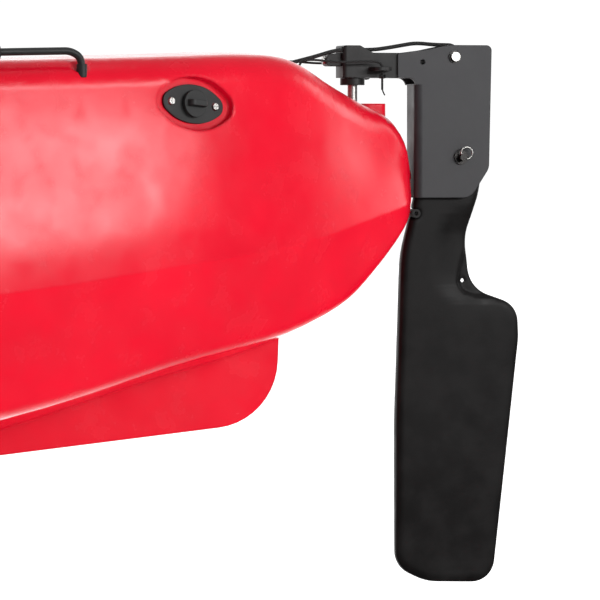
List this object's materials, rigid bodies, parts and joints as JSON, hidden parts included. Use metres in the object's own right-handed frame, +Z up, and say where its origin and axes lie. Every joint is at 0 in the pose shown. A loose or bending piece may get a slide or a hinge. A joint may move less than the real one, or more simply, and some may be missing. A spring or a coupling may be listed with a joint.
{
  "type": "pedal kayak",
  "caption": "Sit-on-top pedal kayak: moulded hull with kick-up rudder, sling seat on rails, bow hatch and a tilting pedal drive with propeller.",
  "frame": {"origin": "on the flat of the keel bar, amidships, under the centre line", "axes": "+X towards the bow, +Y to port, +Z up"},
  "size_m": [3.7894, 0.8706, 0.966],
  "materials": {
    "hull_red": "semi-gloss moulded polyethylene",
    "black_plastic": "moulded, satin",
    "housing_grey": "satin dark grey coating",
    "stainless": "machined stainless steel",
    "aluminium": "anodised",
    "line": "braided cord",
    "sling": "woven mesh",
    "rubber": "moulded rubber",
    "gear_steel": "cut steel"
  },
  "bodies": {
    "hull": {"hull": "hull_red", "rudder_pin": "stainless", "rudder_collar": "black_plastic", "deck_line_guides": "black_plastic", "steering_lines": "line", "lift_line": "line", "drain_flange": "black_plastic", "drain_screws": "stainless", "side_handles": "black_plastic", "side_handle_grips": "rubber", "bow_handle": "black_plastic", "hatch_seal": "rubber", "hatch_lugs": "black_plastic", "hatch_pins": "stainless", "gear_tracks": "aluminium", "tiller_base": "black_plastic", "seat_rails": "aluminium", "drive_cradles": "black_plastic", "keeper_pins": "stainless"},
    "rudder": {"rudder_head": "black_plastic", "lift_line_guide": "black_plastic", "rudder_housing": "housing_grey", "rudder_bolts": "stainless", "rudder_washers": "black_plastic", "blade_pivot_pin": "stainless", "split_ring": "stainless"},
    "blade": {"rudder_blade": "black_plastic", "blade_bush": "black_plastic", "blade_bumper": "rubber"},
    "sheave": {"lift_sheave": "black_plastic"},
    "tiller": {"tiller_lever": "black_plastic"},
    "seat": {"seat_runners": "black_plastic", "seat_frame": "aluminium", "recline_bolts": "stainless", "seat_sling": "sling"},
    "seat_back": {"seat_back_frame": "aluminium", "seat_back_sling": "sling"},
    "drive": {"drive_casing_port": "housing_grey", "drive_casing_starboard": "housing_grey", "drive_cross_tube": "aluminium", "drive_handle": "rubber", "drive_leg": "housing_grey", "drive_bearings": "stainless"},
    "crank": {"crank_shaft": "stainless", "crank_gear": "gear_steel", "crank_arms": "aluminium", "pedal_axles": "stainless"},
    "port_pedal": {"pedal_port": "black_plastic"},
    "starboard_pedal": {"pedal_starboard": "black_plastic"},
    "shaft": {"drive_shaft": "gear_steel", "lower_gear": "gear_steel"},
    "prop": {"prop_shaft": "gear_steel", "propeller": "black_plastic", "prop_nut": "black_plastic"},
    "port_keeper": {"keeper_port": "stainless"},
    "starboard_keeper": {"keeper_starboard": "stainless"},
    "lid": {"hatch_lid": "black_plastic"},
    "latch": {"hatch_latch": "black_plastic"},
    "plug": {"drain_plug": "black_plastic"}
  },
  "joints": [
    {"name": "rudder_steer", "type": "hinge", "parent": "hull", "child": "rudder", "pos_m": [-1.765, 0, 0.45], "axis": [0, 0, 1], "range_deg": [-40, 40], "deforming": ["steering_lines", "lift_line"]},
    {"name": "blade_lift", "type": "hinge", "parent": "rudder", "child": "blade", "pos_m": [-1.884, 0, 0.35], "axis": [0, 1, 0], "range_deg": [0, 100]},
    {"name": "sheave_turn", "type": "hinge", "parent": "rudder", "child": "sheave", "pos_m": [-1.877, 0, 0.461], "axis": [0, 1, 0], "range_deg": [0, 200], "deforming": ["lift_line"]},
    {"name": "tiller_turn", "type": "hinge", "parent": "hull", "child": "tiller", "pos_m": [0.06, 0.338, 0.386], "axis": [0, 0, 1], "range_deg": [-40, 40]},
    {"name": "seat_slide", "type": "slide", "parent": "hull", "child": "seat", "axis": [1, 0, 0], "range_m": [-0.12, 0.03]},
    {"name": "back_recline", "type": "hinge", "parent": "seat", "child": "seat_back", "pos_m": [-0.3, 0, 0.23], "axis": [0, 1, 0], "range_deg": [-12, 75]},
    {"name": "drive_tilt", "type": "hinge", "parent": "hull", "child": "drive", "pos_m": [0.74, 0, 0.23], "axis": [0, 1, 0], "range_deg": [0, 65]},
    {"name": "crank_turn", "type": "hinge", "parent": "drive", "child": "crank", "pos_m": [0.66, 0, 0.42], "axis": [0, 1, 0], "continuous": true},
    {"name": "port_pedal_spin", "type": "hinge", "parent": "crank", "child": "port_pedal", "pos_m": [0.775, 0.127, 0.42], "axis": [0, 1, 0], "continuous": true},
    {"name": "starboard_pedal_spin", "type": "hinge", "parent": "crank", "child": "starboard_pedal", "pos_m": [0.545, -0.127, 0.42], "axis": [0, 1, 0], "continuous": true},
    {"name": "shaft_turn", "type": "hinge", "parent": "drive", "child": "shaft", "pos_m": [0.66, 0, 0.1], "axis": [0, 0, 1], "continuous": true},
    {"name": "prop_turn", "type": "hinge", "parent": "drive", "child": "prop", "pos_m": [0.6, 0, -0.165], "axis": [1, 0, 0], "continuous": true},
    {"name": "port_keeper_slide", "type": "slide", "parent": "hull", "child": "port_keeper", "axis": [0, 1, 0], "range_m": [0, 0.016]},
    {"name": "starboard_keeper_slide", "type": "slide", "parent": "hull", "child": "starboard_keeper", "axis": [0, -1, 0], "range_m": [0, 0.016]},
    {"name": "hatch_open", "type": "hinge", "parent": "hull", "child": "lid", "pos_m": [1.441, 0, 0.459], "axis": [0, 1, 0], "range_deg": [0, 100]},
    {"name": "latch_open", "type": "hinge", "parent": "hull", "child": "latch", "pos_m": [1.132, 0, 0.438], "axis": [0, 1, 0], "range_deg": [-100, 0]},
    {"name": "plug_turn", "type": "hinge", "parent": "hull", "child": "plug", "pos_m": [-1.529, 0.199, 0.405], "axis": [-0.34, 0.9351, 0.1], "range_deg": [0, 360]}
  ],
  "couplings": [
    {"joint": "sheave_turn", "follows": "blade_lift", "ratio": 2},
    {"joint": "tiller_turn", "follows": "rudder_steer", "ratio": 1},
    {"joint": "shaft_turn", "follows": "crank_turn", "ratio": 4},
    {"joint": "prop_turn", "follows": "crank_turn", "ratio": 10}
  ]
}
